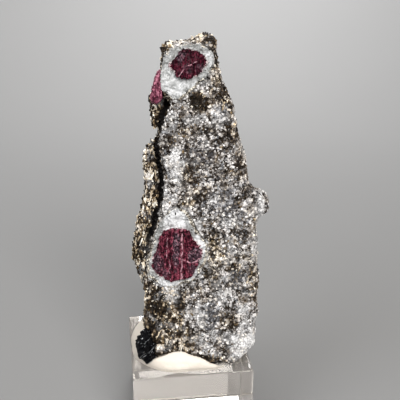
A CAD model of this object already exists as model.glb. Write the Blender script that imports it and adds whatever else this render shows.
"""Looks of the corundum in mica schist on its display block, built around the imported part."""

import math

import bmesh
import bpy
from mathutils import Matrix, Vector, noise
from mathutils.bvhtree import BVHTree


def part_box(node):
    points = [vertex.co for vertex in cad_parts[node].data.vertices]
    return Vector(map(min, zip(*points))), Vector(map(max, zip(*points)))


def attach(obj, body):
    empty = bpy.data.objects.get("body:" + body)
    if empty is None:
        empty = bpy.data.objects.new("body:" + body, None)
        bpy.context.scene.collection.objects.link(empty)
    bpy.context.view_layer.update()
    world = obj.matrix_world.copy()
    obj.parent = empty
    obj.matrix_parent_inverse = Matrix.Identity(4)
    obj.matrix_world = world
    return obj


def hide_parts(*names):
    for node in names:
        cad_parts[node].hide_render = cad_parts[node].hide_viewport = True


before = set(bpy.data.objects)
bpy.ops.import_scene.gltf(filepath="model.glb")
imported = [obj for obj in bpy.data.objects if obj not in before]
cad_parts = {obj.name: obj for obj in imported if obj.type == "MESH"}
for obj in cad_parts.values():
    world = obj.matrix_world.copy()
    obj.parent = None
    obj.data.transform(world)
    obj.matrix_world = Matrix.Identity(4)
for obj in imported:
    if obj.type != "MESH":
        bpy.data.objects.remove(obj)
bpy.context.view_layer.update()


# --- The schist ---------------------------------------------------------------------------------
# One piece of broken mica schist: a granular slab of white feldspar, grey quartz and dark mica in
# front, and a layer of brown mica sheets behind it on the left. Broken from its bed with a hammer,
# so its faces are rough everywhere.

MM = 0.001
BLOCK_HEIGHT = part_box("acrylic_block")[1][2] / MM
STONE_TURN = math.radians(-7.1)  # how the stone is turned on its block
TO_STONE = Matrix.Rotation(-STONE_TURN, 4, "Z")
BODY_VOXEL = 0.3


def in_stone(point):
    """A point of the frame in the stone's own millimetres: right, away from its face, up."""
    place = TO_STONE @ (Vector(point) / MM)
    place.z -= BLOCK_HEIGHT
    return place


class Wire:
    """An output of a node. Arithmetic on it adds the Math nodes that work it out."""

    def __init__(self, graph, socket):
        self.graph = graph
        self.socket = socket

    def also(self, name):
        """Another output of the same node."""
        return Wire(self.graph, self.socket.node.outputs[name])

    def __add__(self, other):
        return self.graph.math("ADD", self, other)

    def __sub__(self, other):
        return self.graph.math("SUBTRACT", self, other)

    def __mul__(self, other):
        return self.graph.math("MULTIPLY", self, other)

    def __radd__(self, other):
        return self.graph.math("ADD", other, self)

    def __rsub__(self, other):
        return self.graph.math("SUBTRACT", other, self)

    def __rmul__(self, other):
        return self.graph.math("MULTIPLY", other, self)

    def __gt__(self, other):
        return self.graph.math("GREATER_THAN", self, other)

    def size(self):
        """Its size without its sign."""
        return self.graph.math("ABSOLUTE", self)


class Graph:
    """A node tree that is being built, of a material or of Geometry Nodes."""

    def __init__(self, tree):
        self.tree = tree

    def node(self, kind, settings, inputs, output=0):
        """Adds a node: its settings first, then the values or wires of its sockets."""
        node = self.tree.nodes.new(kind)
        for name, value in settings.items():
            if name == "stops":
                self.set_stops(node.color_ramp, value)
            else:
                setattr(node, name, value)
        for name, value in inputs.items():
            self.feed(node.inputs[name], value)
        return Wire(self, node.outputs[output]) if node.outputs else None

    def set_stops(self, ramp, stops):
        while len(ramp.elements) < len(stops):
            ramp.elements.new(1.0)
        for element, (position, colour) in zip(ramp.elements, stops):
            element.position = position
            element.color = (*colour, 1.0)

    def feed(self, socket, value):
        if isinstance(value, Wire):
            self.tree.links.new(value.socket, socket)
        else:
            socket.default_value = value

    def math(self, operation, first, second=0.0):
        return self.node("ShaderNodeMath", {"operation": operation}, {0: first, 1: second})

    def vector(self, operation, first, second):
        return self.node("ShaderNodeVectorMath", {"operation": operation}, {0: first, 1: second})

    def scaled(self, vector, factor):
        return self.node(
            "ShaderNodeVectorMath", {"operation": "SCALE"}, {0: vector, "Scale": factor}
        )

    def parts(self, vector):
        """A vector's three numbers."""
        split = self.node("ShaderNodeSeparateXYZ", {}, {0: vector})
        return split, split.also("Y"), split.also("Z")

    def mix(self, share, first, second):
        """A colour between two colours."""
        first = first if isinstance(first, Wire) else (*first, 1.0)
        second = second if isinstance(second, Wire) else (*second, 1.0)
        settings = {"data_type": "RGBA", "clamp_factor": True}
        return self.node("ShaderNodeMix", settings, {0: share, 6: first, 7: second}, 2)

    def ramp(self, value, stops):
        return self.node("ShaderNodeValToRGB", {"stops": stops}, {0: value}, "Color")

    def smooth(self, value, low, high):
        """0 below low, 1 above high, eased between."""
        settings = {"interpolation_type": "SMOOTHSTEP"}
        return self.node("ShaderNodeMapRange", settings, {0: value, 1: low, 2: high})


class Surface(Graph):
    """A material whose shader is one Principled BSDF, read in the stone's own millimetres."""

    def __init__(self, name, **constants):
        self.material = bpy.data.materials.new(name)
        self.material.use_nodes = True
        super().__init__(self.material.node_tree)
        self.shader = self.tree.nodes["Principled BSDF"]
        for socket, value in constants.items():
            self.shader.inputs[socket.replace("_", " ")].default_value = value

    def place(self):
        where = self.node("ShaderNodeTexCoord", {}, {}, "Object")
        settings = {"vector_type": "POINT"}
        inputs = {
            "Vector": where,
            "Location": (0, 0, -BLOCK_HEIGHT),
            "Rotation": (0, 0, -STONE_TURN),
            "Scale": (1 / MM, 1 / MM, 1 / MM),
        }
        return self.node("ShaderNodeMapping", settings, inputs)

    def speckle(self, place, size):
        """Random cells of about this size in millimetres: their distance, and a colour each."""
        return self.node("ShaderNodeTexVoronoi", {}, {"Vector": place, "Scale": 1 / size})

    def shade(self, cells, channel):
        """A random number for each cell, from one channel of its colour."""
        return self.node("ShaderNodeSeparateColor", {}, {0: cells.also("Color")}, channel)

    def cloud(self, place, size, detail=2.0, roughness=0.5):
        inputs = {"Vector": place, "Scale": 1 / size, "Detail": detail, "Roughness": roughness}
        return self.node("ShaderNodeTexNoise", {}, inputs)

    def stretched(self, place, across, deep, up):
        """The place divided by a size for each direction: textures there are drawn out that way."""
        return self.vector("MULTIPLY", place, (1 / across, 1 / deep, 1 / up))

    def attribute(self, name):
        return self.node("ShaderNodeAttribute", {"attribute_name": name}, {}, "Fac")

    def facets(self, cells, amount):
        """The surface's normal, tilted another way in each cell, like small crystals' faces."""
        normal = self.node("ShaderNodeNewGeometry", {}, {}, "Normal")
        tilt = self.scaled(self.vector("SUBTRACT", cells.also("Color"), (0.5, 0.5, 0.5)), amount)
        return self.vector("NORMALIZE", self.vector("ADD", normal, tilt), (0, 0, 0))

    def bump(self, height, depth, normal=None):
        inputs = {"Height": height, "Distance": depth * MM, "Strength": 1.0}
        if normal is not None:
            inputs["Normal"] = normal
        return self.node("ShaderNodeBump", {}, inputs)

    def finish(self, **wires):
        for socket, wire in wires.items():
            self.feed(self.shader.inputs[socket.replace("_", " ")], wire)
        return self.material


def applied(obj):
    """Turns an object's modifiers into its mesh."""
    bpy.context.view_layer.update()
    graph = bpy.context.evaluated_depsgraph_get()
    obj.data = bpy.data.meshes.new_from_object(obj.evaluated_get(graph))
    obj.modifiers.clear()
    return obj


def new_piece(name, mesh):
    obj = bpy.data.objects.new(name, mesh)
    bpy.context.scene.collection.objects.link(obj)
    return obj


def copy_of(node, name, voxel, smoothing):
    """A finer copy of a solid, its doubles merged, with its facets smoothed away."""
    merged = bmesh.new()
    merged.from_mesh(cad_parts[node].data)
    bmesh.ops.remove_doubles(merged, verts=merged.verts, dist=1e-7)
    mesh = bpy.data.meshes.new(name)
    merged.to_mesh(mesh)
    merged.free()
    obj = new_piece(name, mesh)
    fine = obj.modifiers.new("fine", "REMESH")
    fine.mode = "VOXEL"
    fine.voxel_size = voxel * MM
    relax = obj.modifiers.new("relax", "SMOOTH")
    relax.factor = 0.5
    relax.iterations = smoothing
    return applied(obj)


def move_points(obj, rule):
    """Moves each point along its normal by rule(place, normal), in the stone's millimetres."""
    turn = TO_STONE.to_3x3()
    normals = [vertex.normal.copy() for vertex in obj.data.vertices]
    for vertex, normal in zip(obj.data.vertices, normals):
        vertex.co += normal * rule(in_stone(vertex.co), turn @ normal) * MM
    obj.data.update()


def eased(value, low, high):
    """0 below low, 1 above high, eased between."""
    share = max(0.0, min(1.0, (value - low) / (high - low)))
    return share * share * (3.0 - 2.0 * share)


def store(obj, name, values):
    """Keeps a number for each point of a mesh, which materials and scatter trees read by name."""
    attribute = obj.data.attributes.new(name, "FLOAT", "POINT")
    attribute.data.foreach_set("value", values)


# Where mica crowds the rock: (across, up, half-width, half-height, strength).
MICA_PATCHES = [
    (3.2, 66.2, 2.8, 2.0, 1.0), (8.6, 66.5, 1.6, 2.4, 0.8), (11.0, 58.5, 1.6, 2.4, 0.7),
    (6.8, 76.5, 1.4, 4.0, 0.8), (0.6, 59.6, 2.2, 1.6, 0.6), (-2.6, 57.2, 1.6, 1.6, 0.6),
    (1.6, 49.4, 2.4, 2.0, 0.7), (3.6, 44.6, 1.8, 1.8, 0.6), (0.4, 42.4, 1.5, 1.1, 0.9),
    (-6.5, 16.0, 4.6, 8.5, 1.0), (-1.8, 15.6, 1.4, 5.0, 0.9), (-3.2, 7.0, 5.5, 4.0, 0.8),
    (6.6, 31.4, 1.7, 3.4, 0.8), (6.4, 25.2, 1.8, 3.0, 0.6), (12.4, 26.0, 1.6, 1.8, 0.7),
    (16.8, 24.0, 1.6, 6.0, 0.6), (4.0, 2.6, 6.5, 1.3, 0.9), (11.0, 12.5, 1.8, 2.6, 0.6),
    (7.4, 71.6, 1.2, 2.6, 0.8), (9.2, 28.8, 2.0, 2.0, 0.7), (11.8, 26.2, 1.8, 1.8, 0.6),
    (12.6, 52.5, 1.2, 3.5, 0.5),
]
# Where white feldspar crowds it.
PALE_PATCHES = [
    (-2.2, 52.0, 1.5, 4.4, 1.0), (-3.0, 61.6, 1.0, 2.2, 0.7), (14.4, 6.4, 3.2, 3.8, 1.0),
    (15.6, 11.4, 1.8, 2.4, 0.8), (10.4, 8.0, 1.6, 1.6, 0.6), (8.0, 62.2, 2.0, 2.0, 0.5),
    (14.0, 15.8, 1.4, 1.4, 0.9), (17.6, 40.4, 1.2, 3.4, 0.8), (11.0, 37.2, 2.2, 0.9, 0.8),
    (16.8, 31.5, 1.3, 4.5, 0.7), (2.4, 36.6, 1.2, 1.6, 0.9), (-3.6, 19.4, 2.2, 2.2, 1.0),
    (-6.3, 5.6, 1.1, 0.8, 0.9), (3.6, 14.2, 1.4, 3.4, 0.6), (9.2, 18.4, 2.6, 2.2, 0.5),
    (7.6, 64.4, 1.8, 1.2, 0.25), (-5.0, 42.8, 0.8, 3.0, 0.7), (12.5, 3.0, 2.4, 1.2, 0.6),
    (-8.8, 46.0, 0.8, 2.0, 0.8), (-11.2, 22.0, 0.8, 2.6, 0.7), (-8.6, 52.0, 0.7, 1.6, 0.7),
]
# Blue-grey quartz shows in a few glassy eyes.
QUARTZ_PATCHES = [
    (7.8, 64.0, 1.8, 1.4, 1.0), (5.6, 14.0, 2.2, 3.6, 1.0), (12.6, 23.8, 1.8, 1.8, 1.0),
    (8.6, 42.0, 3.4, 4.2, 0.9), (4.0, 54.0, 2.6, 2.4, 0.5), (9.0, 7.0, 2.0, 1.8, 0.6),
    (13.6, 40.0, 1.6, 2.6, 0.6),
]
# The seam where the two layers part, from the top down: (up, across).
SEAM = [
    (66.8, -3.0), (64.5, -4.2), (59.9, -5.8), (56.5, -6.9), (52.2, -6.3), (47.5, -5.6),
    (42.7, -5.8), (38.3, -6.8), (34.0, -8.1), (31.5, -8.9), (28.0, -9.7), (24.0, -10.3),
]
SEAM_TOP = SEAM[0][0]
SEAM_FOOT = SEAM[-1][0]
SEAM_ENDS = (24.1, 66.7)  # the heights between which the layers follow it
SEAM_LEFT = 0.35  # how far left of that line it runs
SEAM_HALF_WIDTH = 0.95
SEAM_REACH = 10.0  # how far behind the slab's face it still shows
PATCH_REACH = 6.0  # how far behind it the patches do
FACE_FOOT = -10.8  # how far forward the slab's face is at its foot
FACE_LEAN = 0.11  # how far it leans back for each millimetre up
LAYER_START = 4.5  # how far behind the face the brown layer begins
TOP_START = 77.8  # how high up the brown top begins


def patch(place, patches):
    """How strongly a place lies in one of the patches, whose edges are ragged."""
    ragged = 0.5 * noise.noise(place / 1.4) + 0.25 * noise.noise(place / 0.6)
    total = 0.0
    for x, z, half_x, half_z, strength in patches:
        reach = math.hypot((place.x - x) / half_x, (place.z - z) / half_z)
        total = max(total, strength * eased(1.3 - reach - ragged, 0.0, 0.5))
    return total


def front_at(height):
    """How far forward the slab's face is at a height."""
    return FACE_FOOT + FACE_LEAN * height


def seam_at(height):
    """How far across the seam is at a height."""
    for (high, x_high), (low, x_low) in zip(SEAM, SEAM[1:]):
        if low <= height <= high:
            return x_low + (x_high - x_low) * (height - low) / (high - low)
    return None


def layers_meet_at(height):
    """How far across the two layers meet, above and below the seam too."""
    lowest, highest = SEAM_ENDS
    return seam_at(min(highest, max(lowest, height)))


def seam_share(place, half_width=SEAM_HALF_WIDTH):
    """1 in the seam between the layers, 0 away from it."""
    middle = seam_at(place.z)
    if middle is None or place.y - front_at(place.z) > SEAM_REACH:
        return 0.0
    wander = 0.25 * noise.noise(place / 1.8) + 0.35 * noise.noise(place / 0.7)
    foot_fades = eased(place.z, SEAM_FOOT, SEAM_FOOT + 8.0)
    top_fades = eased(SEAM_TOP - place.z, 0.0, 2.5)
    aside = abs(place.x + SEAM_LEFT - middle + wander)
    return foot_fades * top_fades * eased(1.0 - aside / half_width, 0.0, 0.35)


def mica_share(place):
    """How much of the rock is brown mica: the layer behind and on the left, the top, patches."""
    depth = place.y - front_at(place.z)
    edge = layers_meet_at(place.z) + 0.3 + 4.5 * eased(SEAM_FOOT - place.z, 0.0, 14.0)
    behind = eased(depth, LAYER_START, LAYER_START + 2.5)
    layer = behind * (0.5 + 0.5 * eased(edge + 3.0 - place.x, 0.0, 6.0))
    side = eased(edge - place.x + 0.9 * noise.noise(place / 1.5), -0.3, 0.6)
    top = eased(place.z, TOP_START, TOP_START + 1.0) * (0.6 + 0.4 * eased(place.x, 4.0, 6.0))
    cloud = 0.5 * eased(noise.noise(place / 2.5 + Vector((7.0, 3.0, 1.0))), 0.02, 0.35)
    front_patches = patch(place, MICA_PATCHES) if depth < PATCH_REACH else 0.0
    return min(1.0, max(layer, side, top, cloud, front_patches))


def pale_share(place):
    """How much of it is white feldspar."""
    depth = place.y - front_at(place.z)
    cloud = 0.6 * eased(noise.noise(place / 3.0 + Vector((1.0, 8.0, 4.0))), 0.2, 0.5)
    front_patches = patch(place, PALE_PATCHES) if depth < PATCH_REACH else 0.0
    return max(cloud, front_patches)


# Patches that are lighter than the rock round them.
LIGHT_PATCHES = [
    (3.2, 79.9, 1.4, 0.8, 0.2), (0.6, 78.8, 2.4, 0.8, 0.15), (-9.6, 48.0, 1.0, 4.5, 0.4),
    (-6.3, 5.6, 1.3, 1.0, 0.8), (-3.4, 19.6, 1.6, 1.8, 0.3), (-10.8, 33.0, 1.0, 3.6, 0.3),
    (14.4, 6.0, 3.0, 3.4, 0.4), (7.6, 64.2, 1.8, 1.4, 0.3), (7.4, 71.4, 1.0, 2.4, 0.35),
    (-2.4, 52.2, 1.2, 3.6, 0.25), (14.6, 41.0, 1.2, 3.0, 0.4),
]
# Patches that are darker.
DARK_PATCHES = [
    (5.9, 79.0, 1.5, 1.5, 0.9), (7.6, 74.4, 0.8, 1.4, 0.5), (2.8, 66.2, 2.0, 1.6, 0.3),
    (8.8, 67.0, 1.2, 1.6, 0.35), (9.4, 61.0, 1.2, 1.0, 0.5), (-1.8, 18.8, 1.0, 2.6, 0.6),
    (-7.4, 5.4, 4.2, 1.6, 0.5), (-7.6, 14.0, 2.6, 6.5, 0.35), (2.6, 2.2, 4.0, 1.4, 0.5),
    (-7.0, 57.0, 1.6, 4.6, 0.4), (12.6, 23.8, 1.4, 1.4, 0.5), (5.8, 13.0, 1.6, 2.6, 0.35),
    (-11.6, 28.0, 1.2, 5.0, 0.2), (14.0, 44.6, 1.2, 1.4, 0.4), (-9.0, 15.0, 1.0, 4.0, 0.4),
    (-4.2, 56.5, 1.0, 2.6, 0.3), (-5.6, 50.0, 0.7, 3.0, 0.3), (9.0, 1.6, 2.6, 1.0, 0.4),
]
TONE_REACH = 9.0  # how far behind the slab's face both show
MIDDLE_TONE = 0.405


def tone_of(place):
    """How light the rock is: it changes in ragged patches a millimetre or two across."""
    coarse = noise.noise(place / 2.1 + Vector((5.0, 2.0, 8.0)))
    fine = noise.noise(place / 0.8 + Vector((2.0, 9.0, 4.0)))
    tone = MIDDLE_TONE + 0.54 * coarse + 0.66 * fine + 0.05 * eased(50.0 - place.z, 0.0, 30.0)
    if place.y - front_at(place.z) < TONE_REACH:
        tone += patch(place, LIGHT_PATCHES) - patch(place, DARK_PATCHES)
    return max(0.0, min(1.0, tone))


COARSE_GRAIN = 1.25
COARSE_RISE = 0.55
FINE_GRAIN = 0.7
FINE_RISE = 0.22
SHEET_WIDTH = 0.7
SHEET_LENGTH = 3.6  # up, the way the mica sheets run
RIB_RISE = 0.42
PIT_DEPTH = 0.45
WORN_DEPTH = 0.35  # how much lower the right side is worn
SEAM_DEPTH = 0.9


def standing_grains(place, size):
    """Flat-topped grains of about a size: 0 where they meet, 0.4 in their middles."""
    nearest, _ = noise.voronoi(place / size)
    return min(0.4, nearest[1] - nearest[0])


def schist_relief(place, normal):
    """Grains that stand up from the break, the ribs of the mica sheets, pits, and the seam."""
    coarse = COARSE_RISE * standing_grains(place, COARSE_GRAIN) - 0.1
    fine = FINE_RISE * standing_grains(place, FINE_GRAIN) - 0.04
    sheet = Vector((place.x / SHEET_WIDTH, place.y / SHEET_WIDTH, place.z / SHEET_LENGTH))
    ribs = RIB_RISE * mica_share(place) * noise.noise(sheet)
    pits = PIT_DEPTH * eased(noise.noise(place / 1.6 + Vector((3.0, 1.0, 9.0))), 0.25, 0.5)
    worn = WORN_DEPTH * eased(place.x, 6.0, 8.0)
    return coarse + fine + ribs - pits - worn - SEAM_DEPTH * seam_share(place, 1.0)


# The colours of its minerals, each from its darkest grains to its palest.
SCHIST_GREYS = [
    (0.0, (0.004, 0.003, 0.003)), (0.28, (0.018, 0.014, 0.011)), (0.42, (0.122, 0.108, 0.096)),
    (0.60, (0.35, 0.33, 0.322)), (0.82, (0.75, 0.72, 0.715)),
]
SCHIST_BROWNS = [
    (0.0, (0.003, 0.002, 0.002)), (0.40, (0.012, 0.008, 0.005)), (0.54, (0.080, 0.053, 0.030)),
    (0.68, (0.38, 0.29, 0.19)), (0.85, (0.84, 0.76, 0.64)),
]
SCHIST_WHITES = [
    (0.0, (0.115, 0.11, 0.11)), (0.3, (0.385, 0.383, 0.388)), (0.8, (0.71, 0.71, 0.718)),
]
QUARTZ_GREYS = [
    (0.0, (0.03, 0.03, 0.035)), (0.5, (0.16, 0.165, 0.185)), (1.0, (0.52, 0.53, 0.56)),
]
GAP_BROWN = (0.020, 0.013, 0.007)  # between the grains
SEAM_BLACK = (0.003, 0.002, 0.002)


def schist_material():
    """Grey grains, brown sheets, white and glassy patches, dark gaps and a dark seam."""
    paint = Surface("schist", Specular_IOR_Level=0.12)
    place = paint.place()
    mica = paint.attribute("mica")
    pale = paint.attribute("pale")
    quartz = paint.attribute("quartz")
    grained = paint.speckle(place, 0.5)
    sheeted = paint.speckle(paint.stretched(place, 0.62, 0.62, 1.7), 1.0)
    fine = paint.speckle(place, 0.3)
    mottle = paint.attribute("tone")
    grain_shade = paint.shade(grained, "Red")
    sheet_shade = paint.shade(sheeted, "Red")
    fine_shade = paint.shade(fine, "Green")
    grey = paint.ramp(grain_shade * 0.65 + mottle * 0.6 + fine_shade * 0.35 - 0.36, SCHIST_GREYS)
    brown = paint.ramp(sheet_shade * 0.8 + mottle * 0.9 + fine_shade * 0.1 - 0.49, SCHIST_BROWNS)
    pale_shade = grain_shade * 0.6 + mottle * 0.5 - 0.05
    white = paint.ramp(pale_shade, SCHIST_WHITES)
    glassy = paint.ramp(pale_shade, QUARTZ_GREYS)
    colour = paint.mix(mica, grey, brown)
    colour = paint.mix(quartz * 0.75, colour, glassy)
    colour = paint.mix(pale * 0.85, colour, white)
    gaps = paint.smooth(grained, 0.3, 0.75) * 0.6
    colour = paint.mix(gaps, colour, GAP_BROWN)
    colour = paint.mix(paint.attribute("seam"), colour, SEAM_BLACK)
    roughness = 0.62 - mica * 0.15
    normal = paint.bump(fine, 0.10, paint.facets(grained, 0.9))
    return paint.finish(Base_Color=colour, Roughness=roughness, Normal=normal)


def tree_of(node):
    """A solid's surface, to find how far a point is from it."""
    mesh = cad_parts[node].data
    return BVHTree.FromPolygons(
        [vertex.co for vertex in mesh.vertices], [polygon.vertices for polygon in mesh.polygons]
    )


def distances(obj, trees):
    """How far each point of a mesh is from the nearest of some solids, in millimetres."""
    return [min(tree.find_nearest(v.co)[3] for tree in trees) / MM for v in obj.data.vertices]


schist = copy_of("mica_schist", "schist", BODY_VOXEL, 3)
rims = [tree_of("feldspar_rim_upper"), tree_of("feldspar_rim_lower")]
from_rim = distances(schist, rims)
from_others = distances(schist, [tree_of("corundum_side"), tree_of("biotite_book")])
move_points(schist, schist_relief)
places = [in_stone(vertex.co) for vertex in schist.data.vertices]
# The rock turns pale towards the rims.
halo = [
    eased(1.0 - away + noise.noise(place / 0.8), 0.0, 0.7) for away, place in zip(from_rim, places)
]
mica_of = [mica_share(place) * (1.0 - 0.8 * near) for place, near in zip(places, halo)]
pale_of = [max(pale_share(place), 0.9 * near) for place, near in zip(places, halo)]
quartz_of = [patch(place, QUARTZ_PATCHES) for place in places]
seam_of = [seam_share(place) for place in places]
tones = [tone_of(place) for place in places]
store(schist, "mica", mica_of)
store(schist, "pale", pale_of)
store(schist, "quartz", quartz_of)
store(schist, "seam", seam_of)
store(schist, "tone", tones)
schist.data.materials.append(schist_material())
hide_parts("mica_schist")
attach(schist, "root")


# --- The grains and flakes of the schist --------------------------------------------------------
# Grains of feldspar and quartz that stand out of the break, and the cleaved plates of brown mica
# that glint all over it. Each is a small solid grown into the rock, partly buried.

GRAIN_SIZES = (0.22, 0.9)  # the smallest and the largest
FLAKE_SIZES = (0.34, 1.2)
SHEET_SIZES = (0.5, 1.5)
GRAIN_SINK = 0.2  # how far a grain is sunk in the rock, as a share of its size
GRAINS_TRIED = 1.2 / (0.3 * MM) ** 2  # places tried on a square metre
PLATE_SIDES = 5
ANY_SPIN = 6.28
ANY_TILT = 3.14
RAGGED_SIZE = 0.4


def scatter_tree(name, shape, upright):
    """Geometry Nodes that set small solids on a surface, where one of its attributes lets them.

    The shape is block or plate. Upright ones stand along the rock's sheets, others lie on it."""
    tree = bpy.data.node_groups.new(name, "GeometryNodeTree")
    tree.interface.new_socket("Rock", in_out="INPUT", socket_type="NodeSocketGeometry")
    tree.interface.new_socket("Weight", in_out="INPUT", socket_type="NodeSocketString")
    for size in ("Spacing", "Smallest", "Largest", "Thickness", "Length", "Tilt"):
        tree.interface.new_socket(size, in_out="INPUT", socket_type="NodeSocketFloat")
    tree.interface.new_socket("Seed", in_out="INPUT", socket_type="NodeSocketInt")
    tree.interface.new_socket("Material", in_out="INPUT", socket_type="NodeSocketMaterial")
    tree.interface.new_socket("Grains", in_out="OUTPUT", socket_type="NodeSocketGeometry")
    graph = Graph(tree)
    given = graph.node("NodeGroupInput", {}, {}, "Rock")

    weight = graph.node(
        "GeometryNodeInputNamedAttribute", {"data_type": "FLOAT"}, {"Name": given.also("Weight")}
    )
    points = graph.node(
        "GeometryNodeDistributePointsOnFaces",
        {"distribute_method": "POISSON"},
        {
            "Mesh": given,
            "Distance Min": given.also("Spacing"),
            "Density Max": GRAINS_TRIED,
            "Density Factor": weight,
            "Seed": given.also("Seed"),
        },
        "Points",
    )

    def chance(seed, low=0.0, high=1.0):
        """A random number for each grain. Its seed keeps it apart from the others."""
        inputs = {2: low, 3: high, "Seed": given.also("Seed") + seed}
        return graph.node("FunctionNodeRandomValue", {"data_type": "FLOAT"}, inputs, 1)

    shade = graph.node(
        "GeometryNodeStoreNamedAttribute",
        {"data_type": "FLOAT", "domain": "POINT"},
        {"Geometry": points, "Name": "shade", "Value": chance(11)},
    )
    if shape == "plate":
        inputs = {"Vertices": PLATE_SIDES, "Radius": 0.5, "Depth": 1.0}
        solid = graph.node("GeometryNodeMeshCylinder", {"fill_type": "NGON"}, inputs)
    else:
        solid = graph.node("GeometryNodeMeshCube", {}, {"Size": (0.8, 0.8, 0.8)})
    tilt = graph.node(
        "ShaderNodeCombineXYZ",
        {},
        {
            0: chance(21, -1.0, 1.0) * given.also("Tilt"),
            1: chance(22, -1.0, 1.0) * given.also("Tilt"),
            2: chance(23, 0.0, ANY_SPIN),
        },
    )
    spin = graph.node("FunctionNodeEulerToRotation", {}, {0: tilt})
    if upright:
        turned = spin
    else:
        turned = graph.node(
            "FunctionNodeRotateRotation",
            {"rotation_space": "LOCAL"},
            {0: points.also("Rotation"), 1: spin},
        )
    # Small ones are far more common than large ones.
    draw = chance(31)
    spread = given.also("Largest") - given.also("Smallest")
    size = given.also("Smallest") + spread * draw * draw
    lengthened = size * given.also("Length")
    if upright:
        sides = {0: size * given.also("Thickness"), 1: size * chance(41, 0.5, 1.0), 2: lengthened}
    else:
        sides = {0: lengthened, 1: size * chance(41, 0.6, 1.0), 2: size * given.also("Thickness")}
    scale = graph.node("ShaderNodeCombineXYZ", {}, sides)
    sunk = graph.node(
        "GeometryNodeSetPosition",
        {},
        {"Geometry": shade, "Offset": graph.scaled(points.also("Normal"), size * -GRAIN_SINK)},
    )
    instances = graph.node(
        "GeometryNodeInstanceOnPoints",
        {},
        {"Points": sunk, "Instance": solid, "Rotation": turned, "Scale": scale},
    )
    solids = graph.node("GeometryNodeRealizeInstances", {}, {"Geometry": instances})
    # The corners are pushed about, so that no two grains are alike.
    here = graph.node("GeometryNodeInputPosition", {}, {})
    inputs = {"Vector": here, "Scale": 1.0 / (RAGGED_SIZE * MM), "Detail": 0.0}
    ragged = graph.node("ShaderNodeTexNoise", {}, inputs, "Color")
    push = graph.scaled(
        graph.vector("SUBTRACT", ragged, (0.5, 0.5, 0.5)), given.also("Smallest") * 0.9
    )
    moved = graph.node("GeometryNodeSetPosition", {}, {"Geometry": solids, "Offset": push})
    inputs = {"Geometry": moved, "Material": given.also("Material")}
    graph.node("NodeGroupOutput", {}, {0: graph.node("GeometryNodeSetMaterial", {}, inputs)})
    return tree


def scattered(
    name, tree, rock, weights, material, spacing, sizes, seed,
    thickness=0.8, length=1.0, tilt=ANY_TILT,
):
    """The grains that a scatter tree sets on a rock, as one plain mesh. Sizes are in millimetres."""
    store(rock, name, weights)
    grains = new_piece(name, rock.data.copy())
    modifier = grains.modifiers.new("scatter", "NODES")
    modifier.node_group = tree
    values = {
        "Weight": name,
        "Spacing": spacing * MM,
        "Smallest": sizes[0] * MM,
        "Largest": sizes[1] * MM,
        "Thickness": thickness,
        "Length": length,
        "Tilt": tilt,
        "Seed": seed,
        "Material": material,
    }
    for item in tree.interface.items_tree:
        if item.in_out == "INPUT" and item.name in values:
            modifier[item.identifier] = values[item.name]
    applied(grains)
    rock.data.attributes.remove(rock.data.attributes[name])
    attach(grains, "root")


PALE_GRAIN = (0.635, 0.635, 0.645)
GRAIN_STAINS = [
    (0.0, (0.02, 0.014, 0.008)), (0.45, (0.10, 0.065, 0.038)), (0.7, (0.50, 0.40, 0.28)),
    (1.0, (0.85, 0.79, 0.68)),
]


def grain_material(name, stops, roughness):
    """Pale grains: whiter where the rock is pale, stained where it is full of mica."""
    paint = Surface(name, Roughness=roughness, Specular_IOR_Level=0.3)
    place = paint.place()
    cells = paint.speckle(place, 0.4)
    shade = paint.attribute("shade") * 0.6 + paint.attribute("tone") * 0.6 - 0.1
    colour = paint.ramp(shade, stops)
    colour = paint.mix(paint.attribute("pale") * 0.6, colour, PALE_GRAIN)
    stain = paint.ramp(paint.attribute("shade"), GRAIN_STAINS)
    colour = paint.mix(paint.attribute("mica") * 0.8, colour, stain)
    normal = paint.bump(paint.cloud(place, 0.25), 0.05, paint.facets(cells, 0.35))
    return paint.finish(Base_Color=colour, Normal=normal)


def mica_material(name, stops, metallic, roughness):
    """Cleaved mica, that shines like metal where it is pale."""
    paint = Surface(name, Roughness=roughness, Specular_IOR_Level=0.2)
    place = paint.place()
    streaks = paint.cloud(paint.stretched(place, 0.3, 0.3, 1.2), 1.0, detail=3.0)
    shade = paint.attribute("shade") * 0.75 + paint.attribute("tone") * 0.4 + streaks * 0.5
    shade = shade + paint.attribute("mica") * 0.12 - 0.42
    shining = paint.smooth(shade, 0.5, 0.8) * metallic
    normal = paint.bump(paint.speckle(place, 0.3), 0.02)
    return paint.finish(Base_Color=paint.ramp(shade, stops), Metallic=shining, Normal=normal)


feldspar_grain = grain_material(
    "feldspar_grain",
    [
        (0.0, (0.03, 0.021, 0.014)), (0.25, (0.15, 0.128, 0.108)), (0.5, (0.38, 0.362, 0.35)),
        (0.75, (0.62, 0.60, 0.59)), (1.0, (0.82, 0.785, 0.75)),
    ],
    0.42,
)
quartz_grain = grain_material(
    "quartz_grain",
    [
        (0.0, (0.01, 0.01, 0.01)), (0.4, (0.07, 0.07, 0.075)), (0.8, (0.26, 0.265, 0.28)),
        (1.0, (0.60, 0.60, 0.62)),
    ],
    0.2,
)
bronze_mica = mica_material(
    "bronze_mica",
    [
        (0.0, (0.004, 0.003, 0.002)), (0.46, (0.014, 0.009, 0.006)), (0.56, (0.16, 0.11, 0.06)),
        (0.66, (0.62, 0.51, 0.36)), (0.85, (0.95, 0.90, 0.81)),
    ],
    0.3,
    0.3,
)
dark_mica = mica_material(
    "dark_mica",
    [
        (0.0, (0.004, 0.003, 0.002)), (0.58, (0.026, 0.016, 0.007)), (0.76, (0.18, 0.12, 0.055)),
        (1.0, (0.80, 0.68, 0.50)),
    ],
    0.35,
    0.25,
)

blocks = scatter_tree("blocks", "block", upright=False)
plates = scatter_tree("plates", "plate", upright=False)
upright_plates = scatter_tree("upright_plates", "plate", upright=True)
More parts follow.
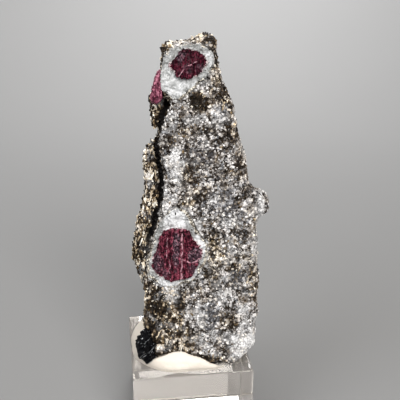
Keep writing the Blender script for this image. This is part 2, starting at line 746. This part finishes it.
# No grain stands on a rim or a crystal. The brown layer is left of where the two layers meet.
bare_of = [eased(min(a, b), 0.5, 0.8) for a, b in zip(from_rim, from_others)]
layer_of = [eased(layers_meet_at(place.z) - place.x, -1.0, 0.5) for place in places]


def weights_by(rule):
    """How thickly grains stand at each point of the rock, by a rule on what is there."""
    there = zip(bare_of, mica_of, pale_of, seam_of, layer_of, tones, quartz_of)
    return [rule(*shares) for shares in there]


def feldspar_rule(bare, mica, pale, seam, layer, tone, quartz):
    """Most in light and white rock, least in the mica."""
    light = 0.3 + 1.4 * tone
    return bare * max(0.8 * pale, 0.6 - 0.42 * mica) * light * (1 - seam) * (1 - 0.7 * layer)


def quartz_rule(bare, mica, pale, seam, layer, tone, quartz):
    """Away from the mica and the white feldspar."""
    return bare * (0.4 - 0.3 * mica) * (1 - 0.7 * pale) * (1 - seam)


def flake_rule(bare, mica, pale, seam, layer, tone, quartz):
    """Most in dark rock full of mica."""
    dark = 1.5 - tone
    share = bare * (0.36 + 0.3 * mica) * dark * (1 - 0.95 * pale)
    return share * (1 - 0.5 * layer) * (1 - seam) * (1 - 0.7 * quartz)


def sheet_rule(bare, mica, pale, seam, layer, tone, quartz):
    """Most in the brown layer."""
    return bare * eased(mica, 0.4, 0.8) * (0.2 + 0.8 * layer) * (1 - seam) * (1 - 0.8 * pale)


scattered(
    "feldspar_grains", blocks, schist, weights_by(feldspar_rule), feldspar_grain,
    spacing=0.35, sizes=GRAIN_SIZES, seed=3,
)
scattered(
    "quartz_grains", blocks, schist, weights_by(quartz_rule), quartz_grain,
    spacing=0.42, sizes=GRAIN_SIZES, seed=57,
)
scattered(
    "dark_mica_flakes", plates, schist, weights_by(flake_rule), dark_mica,
    spacing=0.44, sizes=FLAKE_SIZES, thickness=0.3, tilt=0.9, seed=91,
)
scattered(
    "bronze_mica_sheets", upright_plates, schist, weights_by(sheet_rule), bronze_mica,
    spacing=0.42, sizes=SHEET_SIZES, thickness=0.2, length=1.4, tilt=0.45, seed=123,
)


# --- The white feldspar rims --------------------------------------------------------------------
# Fine sugary feldspar that took the place of the schist around the crystals. It is grown into the
# rock, so it closes the narrow gap that the solids keep.

RIM_VOXEL = 0.22
RIM_GROW = 0.36  # at the sides, into the rock
RIM_SUGAR = 0.7
SPECK_SIZES = (0.3, 1.0)

# Where the rims are whitest: (across, up, half-width, half-height, strength).
RIM_WHITES = [
    (-2.6, 69.4, 2.4, 2.6, 0.5), (-3.9, 72.0, 1.2, 1.6, 0.3), (1.0, 70.2, 2.2, 1.2, 0.4),
    (5.4, 75.4, 0.9, 1.4, 0.4), (-2.6, 38.8, 2.0, 2.4, 1.0), (-4.6, 36.4, 0.9, 1.4, 0.7),
    (-4.0, 22.7, 3.0, 1.2, 1.0), (3.6, 32.4, 1.2, 2.8, 0.8), (1.4, 24.4, 1.2, 1.4, 0.6),
]
# Their colours, and those of the rock's dirt on them.
RIM_GREYS = [
    (0.0, (0.055, 0.055, 0.052)), (0.22, (0.16, 0.162, 0.158)), (0.45, (0.325, 0.33, 0.332)),
    (0.75, (0.53, 0.533, 0.545)),
]
RIM_DIRTS = [
    (0.0, (0.02, 0.015, 0.01)), (0.4, (0.12, 0.09, 0.06)), (0.7, (0.42, 0.38, 0.31)),
    (1.0, (0.85, 0.80, 0.70)),
]
STREAK_GREY = (0.13, 0.132, 0.128)


def rim_relief(place, normal):
    """A sugary, uneven surface, grown out at the sides."""
    out = RIM_GROW * eased(normal.y, -0.85, -0.4) - 0.12
    ragged = 0.34 * noise.noise(place / 1.3) + 0.16 * noise.noise(place / 0.5)
    return out + ragged + 0.2 * standing_grains(place, RIM_SUGAR)


def rim_material():
    """Sugary white, with grey streaks, and dirtied with rock at its ragged edge."""
    paint = Surface("rim_feldspar", Roughness=0.5)
    place = paint.place()
    sugar = paint.speckle(place, 0.34)
    shade = paint.shade(sugar, "Green")
    cloud = paint.cloud(place, 1.7, detail=4.0, roughness=0.65)
    light = shade * 0.3 + cloud * 0.7 + paint.attribute("white") * 0.4 - 0.17
    colour = paint.ramp(light, RIM_GREYS)
    drawn_out = paint.cloud(paint.stretched(place, 0.5, 0.5, 1.6), 1.0, detail=3.0)
    streaks = paint.smooth(drawn_out, 0.58, 0.70)
    colour = paint.mix(streaks * 0.6, colour, STREAK_GREY)
    dirt = paint.ramp(shade, RIM_DIRTS)
    edge = paint.attribute("edge") + (cloud - 0.5) * 2.0 - paint.attribute("white") * 0.5
    edge = paint.smooth(edge, 0.3, 0.6)
    colour = paint.mix(edge * 0.85, colour, dirt)
    normal = paint.bump(paint.cloud(place, 0.3, detail=3.0), 0.08, paint.facets(sugar, 0.3))
    return paint.finish(Base_Color=colour, Normal=normal)


rim_feldspar = rim_material()
rock = [tree_of("mica_schist")]
for node in ("feldspar_rim_upper", "feldspar_rim_lower"):
    rim = copy_of(node, node + "_sugar", RIM_VOXEL, 3)
    to_rock = distances(rim, rock)
    move_points(rim, rim_relief)
    store(rim, "edge", [eased(1.2 - away, 0.0, 1.1) for away in to_rock])
    store(rim, "white", [patch(in_stone(vertex.co), RIM_WHITES) for vertex in rim.data.vertices])
    rim.data.materials.append(rim_feldspar)
    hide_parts(node)
    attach(rim, "root")
    near_rock = [eased(1.9 - away, 0.0, 1.6) * 0.45 for away in to_rock]
    scattered(
        node + "_specks", plates, rim, near_rock, dark_mica,
        spacing=0.5, sizes=SPECK_SIZES, thickness=0.16, tilt=1.2, seed=7,
    )


# --- The corundum crystals ----------------------------------------------------------------------
# Three crystals of dark red corundum, two grown inside white rims and one in the rock's left side.
# They part along flat planes, so their broken fronts are upright ledges with bright edges.

CRYSTAL_VOXEL = 0.16
CRYSTAL_GROW = 0.35  # at the sides of the two in front, where they close the gap to their rims
THIRD_GROW = -0.2  # as a share of that: the third crystal stays about the size of its solid
THIRD_CORNER = (-4.5, -2.0)  # (across, back): the third is left of this place and behind it
LEDGES_PER_MM = 0.7
LEDGE_STEP = 0.3
STREAK_LENGTH = 3.5  # how many times longer the streaks of the break are up than across


def crystal_relief(place, normal):
    """Steps along the upright parting planes, and a hackly break across them."""
    across, back = THIRD_CORNER
    in_front = place.y < back or place.x > across
    side = eased(normal.y, -0.85, -0.3) if in_front else THIRD_GROW
    strip = place.x * LEDGES_PER_MM + 0.5 * noise.noise(place / 2.5)
    step = LEDGE_STEP * (strip - math.floor(strip)) - LEDGE_STEP / 2
    drawn_out = Vector((place.x, place.y, place.z / STREAK_LENGTH))
    rough = 0.22 * noise.noise(place / 0.6) + 0.16 * noise.noise(drawn_out / 0.5)
    return 0.06 + CRYSTAL_GROW * side + step + rough


# Greyer places, the pink veins, and the pale worn edge.
CRYSTAL_GREYS = [
    (0.0, (0.010, 0.007, 0.010)), (0.6, (0.045, 0.026, 0.036)), (1.0, (0.24, 0.17, 0.20)),
]
VEIN_PINK = (0.52, 0.28, 0.33)
WORN_PINK = (0.50, 0.42, 0.42)


def crystal_material(name, dark, middle, light, veins):
    """Dark red with paler streaks along its planes, greyer patches, chips, a pale worn edge, and
    veins: (across, up, lean, half-width, half-length)."""
    paint = Surface(name, Roughness=0.36, Specular_IOR_Level=0.09)
    place = paint.place()
    cloud = paint.cloud(place, 1.2, detail=5.0, roughness=0.7)
    streaks = paint.cloud(paint.stretched(place, 0.42, 0.42, 2.6), 1.0, detail=3.0)
    chips = paint.speckle(place, 0.3)
    chip = paint.shade(chips, "Blue")
    colour = paint.ramp(cloud * 0.5 + streaks * 0.5, [(0.40, dark), (0.5, middle), (0.61, light)])
    grey = paint.ramp(chip, CRYSTAL_GREYS)
    colour = paint.mix(paint.attribute("grey") * paint.smooth(cloud, 0.28, 0.48), colour, grey)
    colour = paint.mix(paint.smooth(chip, 0.8, 0.95) * 0.5, colour, light)
    colour = paint.mix(paint.smooth(0.3 - chip, 0.0, 0.2) * 0.6, colour, dark)
    across, _, up = paint.parts(place)
    broken = paint.smooth(paint.cloud(place, 0.7), 0.36, 0.55)
    for x, z, lean, half_width, half_length in veins:
        wander = (paint.cloud(place, 0.9) - 0.5) * 1.1
        line = (across - x - (up - z) * lean + wander).size()
        beyond = (up - z).size() > half_length
        share = (1.0 - paint.smooth(line, 0.0, half_width)) * (1.0 - beyond) * broken
        colour = paint.mix(share * 0.8, colour, VEIN_PINK)
    worn = paint.smooth(paint.attribute("edge") + (chip - 0.5) * 0.9, 0.45, 0.8)
    colour = paint.mix(worn * 0.85, colour, WORN_PINK)
    normal = paint.bump(streaks, 0.3, paint.facets(chips, 0.5))
    return paint.finish(Base_Color=colour, Normal=normal)


# The reds, each from dark to light.
WINE = ((0.004, 0.001, 0.002), (0.034, 0.0035, 0.009), (0.22, 0.045, 0.072))
DARK_WINE = ((0.004, 0.001, 0.002), (0.024, 0.0015, 0.006), (0.10, 0.012, 0.026))
ROSE = ((0.035, 0.007, 0.014), (0.14, 0.032, 0.058), (0.42, 0.17, 0.23))
# The reds of each crystal, its veins, and its grey patches, listed like those of the rock.
CRYSTALS = {
    "corundum_upper": (
        DARK_WINE,
        [(1.8, 74.7, 2.4, 0.3, 0.5), (-0.9, 72.6, 0.5, 0.18, 0.8)],
        [(-0.8, 76.2, 1.0, 1.2, 0.7), (0.6, 73.6, 1.0, 1.0, 0.35), (3.0, 73.6, 0.9, 0.9, 0.35)],
    ),
    "corundum_lower": (
        WINE,
        [
            (-1.0, 30.0, 0.02, 0.34, 7.0), (-3.9, 26.6, -0.05, 0.2, 2.4), (0.5, 28.5, -2.6, 0.8, 0.5),
            (-4.5, 32.0, 0.1, 0.16, 2.5), (2.7, 28.7, 1.8, 0.45, 0.6),
        ],
        [
            (-2.2, 32.6, 0.8, 3.6, 0.9), (-2.4, 28.6, 0.7, 2.0, 0.7), (2.2, 29.8, 1.6, 1.8, 0.9),
            (-6.6, 28.0, 1.2, 2.4, 0.8), (-5.2, 25.6, 1.0, 1.0, 0.6), (1.4, 26.6, 0.9, 1.0, 0.7),
        ],
    ),
    "corundum_side": (ROSE, [], []),
}
for node, (reds, veins, greys) in CRYSTALS.items():
    crystal = copy_of(node, node + "_crystal", CRYSTAL_VOXEL, 1)
    to_rim = distances(crystal, rims)
    move_points(crystal, crystal_relief)
    store(crystal, "edge", [eased(0.46 - away, 0.0, 0.2) for away in to_rim])
    store(crystal, "grey", [patch(in_stone(vertex.co), greys) for vertex in crystal.data.vertices])
    crystal.data.materials.append(crystal_material(node + "_red", *reds, veins))
    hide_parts(node)
    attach(crystal, "root")


# --- The biotite book ---------------------------------------------------------------------------
# A thick book of black mica grown in the rock's left foot: hundreds of thin sheets, bent a little,
# shiny on their faces and streaked along their edges.

BOOK_VOXEL = 0.15
BOOK_GROW = 0.10
BOOK_NORMAL = Vector((-0.60, -0.30, 0.74)).normalized()
BOOK_SHEETS_PER_MM = 2.4
BOOK_BLACKS = [
    (0.45, (0.001, 0.001, 0.0015)), (0.70, (0.003, 0.003, 0.004)), (0.78, (0.36, 0.37, 0.39)),
]


def book_relief(place, normal):
    """Sheets that stand out by different amounts, and chips."""
    level = place.dot(BOOK_NORMAL) * BOOK_SHEETS_PER_MM + 0.7 * noise.noise(place / 2.4)
    sheet = 0.45 * noise.noise(Vector((0.3, 0.2, math.floor(level) * 3.7)))
    return BOOK_GROW + sheet + 0.25 * noise.noise(place / 0.8)


def book_material():
    """Black, with grey glints along the sheets' edges."""
    paint = Surface("black_mica", Roughness=0.2, Specular_IOR_Level=0.07)
    place = paint.place()
    settings = {"operation": "DOT_PRODUCT"}
    along = paint.node("ShaderNodeVectorMath", settings, {0: place, 1: tuple(BOOK_NORMAL)}, "Value")
    bent = along + (paint.cloud(place, 1.6) - 0.5) * 0.9
    inputs = {"W": bent * 4.0, "Scale": 1.0, "Detail": 4.0}
    sheets = paint.node("ShaderNodeTexNoise", {"noise_dimensions": "1D"}, inputs)
    chips = paint.speckle(place, 0.35)
    chip = paint.shade(chips, "Blue")
    colour = paint.ramp(sheets + chip * 0.12, BOOK_BLACKS)
    normal = paint.bump(sheets, 0.4, paint.facets(chips, 0.3))
    return paint.finish(Base_Color=colour, Normal=normal)


book = copy_of("biotite_book", "biotite_sheets", BOOK_VOXEL, 1)
move_points(book, book_relief)
book.data.materials.append(book_material())
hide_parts("biotite_book")
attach(book, "root")


# --- The putty ----------------------------------------------------------------------------------
# A pat of off-white mineral putty, pressed down by hand round the foot of the stone. It sticks to
# the block, so its underside lies flat on it.

PUTTY_VOXEL = 0.24
PUTTY_SWELL = 0.2
PUTTY_FREE = 0.6  # how high over the block the dents begin
PUTTY_FLAT = 0.45  # what is lower than this over the block is pressed flat on it
PUTTY_STUCK = 0.02  # how far under the block's face that is, so that no light passes between
PUTTY_DARK = (0.49, 0.445, 0.39)
PUTTY_LIGHT = (0.55, 0.50, 0.44)


def putty_relief(place, normal):
    """A little swollen, with the dents of fingertips."""
    dents = 0.18 * noise.noise(place / 4.0) + 0.07 * noise.noise(place / 1.5)
    return PUTTY_SWELL + dents if place.z > PUTTY_FREE else 0.0


def putty_material():
    paint = Surface("putty", Roughness=0.55)
    place = paint.place()
    cloud = paint.cloud(place, 5.0, detail=3.0)
    colour = paint.mix(cloud, PUTTY_DARK, PUTTY_LIGHT)
    normal = paint.bump(paint.cloud(place, 0.8, detail=4.0), 0.10)
    return paint.finish(Base_Color=colour, Normal=normal)


putty = copy_of("putty", "putty_pat", PUTTY_VOXEL, 4)
move_points(putty, putty_relief)
for vertex in putty.data.vertices:
    if in_stone(vertex.co).z < PUTTY_FLAT:
        vertex.co.z = (BLOCK_HEIGHT - PUTTY_STUCK) * MM
putty.data.materials.append(putty_material())
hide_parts("putty")
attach(putty, "root")


# --- The display block --------------------------------------------------------------------------
# A block of clear cast acrylic, sawn and polished on every face, with its edges broken. Its shape
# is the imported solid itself, and only its material is made here.

WARM_TINT = (0.92, 0.87, 0.82)
PALE_TINT = (0.94, 0.895, 0.85)

acrylic = Surface("clear_acrylic", Roughness=0.015, IOR=1.49, Transmission_Weight=0.9)
haze = acrylic.cloud(acrylic.place(), 9.0)
tint = acrylic.mix(haze, WARM_TINT, PALE_TINT)
clear_acrylic = acrylic.finish(Base_Color=tint)
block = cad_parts["acrylic_block"]
for slot in block.material_slots:
    slot.material = clear_acrylic


# --- The studio ---------------------------------------------------------------------------------
# A round grey sweep, flat under the block and curving up all round it, with soft lamps above and
# behind. Its sizes and the lamps' places are in metres.

SWEEP_FLAT = 0.24
SWEEP_RISE = 0.22
SWEEP_DROP = 0.00005  # the sweep lies this far under the block, so that light passes between them
SWEEP_STEP = 7.5  # degrees of its curve
SWEEP_STEPS = 10
SWEEP_SIDES = 96
SWEEP_GREY = (0.174, 0.174, 0.174)
SWEEP_CLOUD = 1.03  # how much lighter it is in places

profile = bpy.data.meshes.new("sweep")
ring = bmesh.new()
steps = [(0.0, 0.0), (SWEEP_FLAT, 0.0)]
for number in range(1, SWEEP_STEPS + 1):
    angle = math.radians(SWEEP_STEP * number)
    steps.append((SWEEP_FLAT + SWEEP_RISE * math.sin(angle), SWEEP_RISE * (1 - math.cos(angle))))
verts = [ring.verts.new((r, 0.0, z - SWEEP_DROP)) for r, z in steps]
edges = [ring.edges.new(pair) for pair in zip(verts, verts[1:])]
bmesh.ops.spin(
    ring, geom=verts + edges, cent=(0, 0, 0), axis=(0, 0, 1), angle=2 * math.pi,
    steps=SWEEP_SIDES, use_merge=True, use_duplicate=False,
)
bmesh.ops.remove_doubles(ring, verts=ring.verts, dist=1e-6)
bmesh.ops.recalc_face_normals(ring, faces=ring.faces)
ring.to_mesh(profile)
ring.free()
for polygon in profile.polygons:
    polygon.use_smooth = True
card = Surface("sweep_card", Roughness=0.8, Specular_IOR_Level=0.0)
lighter = tuple(part * SWEEP_CLOUD for part in SWEEP_GREY)
card_colour = card.mix(card.cloud(card.place(), 60.0), SWEEP_GREY, lighter)
profile.materials.append(card.finish(Base_Color=card_colour))
sweep = new_piece("sweep", profile)


def lamp(name, place, aim, size, power, colour=(1.0, 1.0, 1.0)):
    """A square soft lamp at a place, turned towards its aim."""
    light = bpy.data.lights.new(name, "AREA")
    light.shape = "SQUARE"
    light.size = size
    light.energy = power
    light.color = colour
    obj = bpy.data.objects.new(name, light)
    bpy.context.scene.collection.objects.link(obj)
    obj.location = place
    obj.rotation_euler = (Vector(aim) - Vector(place)).to_track_quat("-Z", "Y").to_euler()


lamp("key", (0.09, -0.44, 0.36), (0, -0.02, 0.04), 0.26, 4.0, (1.0, 0.98, 0.95))
lamp("top", (-0.08, -0.02, 0.58), (0, -0.02, 0.0), 0.40, 2.3, (1.0, 0.97, 0.92))
lamp("left", (-0.38, -0.24, 0.42), (0, 0, 0.05), 0.30, 1.9, (0.96, 0.98, 1.0))
lamp("backdrop", (0.02, 0.28, 0.36), (0.02, 0.52, 0.15), 0.12, 1.6)
lamp("back", (0.10, 0.40, 0.20), (0, 0, 0.06), 0.20, 1.3)

ROOM_COLOUR = (0.95, 0.97, 1.0, 1.0)
ROOM_STRENGTH = 0.24
world = bpy.data.worlds.new("studio")
bpy.context.scene.world = world
world.use_nodes = True
room = world.node_tree.nodes["Background"]
room.inputs["Color"].default_value = ROOM_COLOUR
room.inputs["Strength"].default_value = ROOM_STRENGTH

# The camera looks down on the stone, square to its face. Its place is in the stone's millimetres.
CAMERA_IN_STONE = (3.337, -163.060, 106.929)
CAMERA_PITCH = math.radians(22.139)
SENSOR_WIDTH = 36.0
FOCAL_LENGTH = 64.98
NEAREST_SEEN = 0.005
camera_data = bpy.data.cameras.new("camera")
camera_data.sensor_width = SENSOR_WIDTH
camera_data.lens = FOCAL_LENGTH
camera_data.clip_start = NEAREST_SEEN
camera = bpy.data.objects.new("camera", camera_data)
bpy.context.scene.collection.objects.link(camera)
camera.location = (
    TO_STONE.inverted() @ (Vector(CAMERA_IN_STONE) + Vector((0, 0, BLOCK_HEIGHT)))
) * MM
camera.rotation_euler = (math.pi / 2 - CAMERA_PITCH, 0.0, STONE_TURN)
bpy.context.scene.camera = camera
bpy.context.scene.view_settings.view_transform = "Standard"
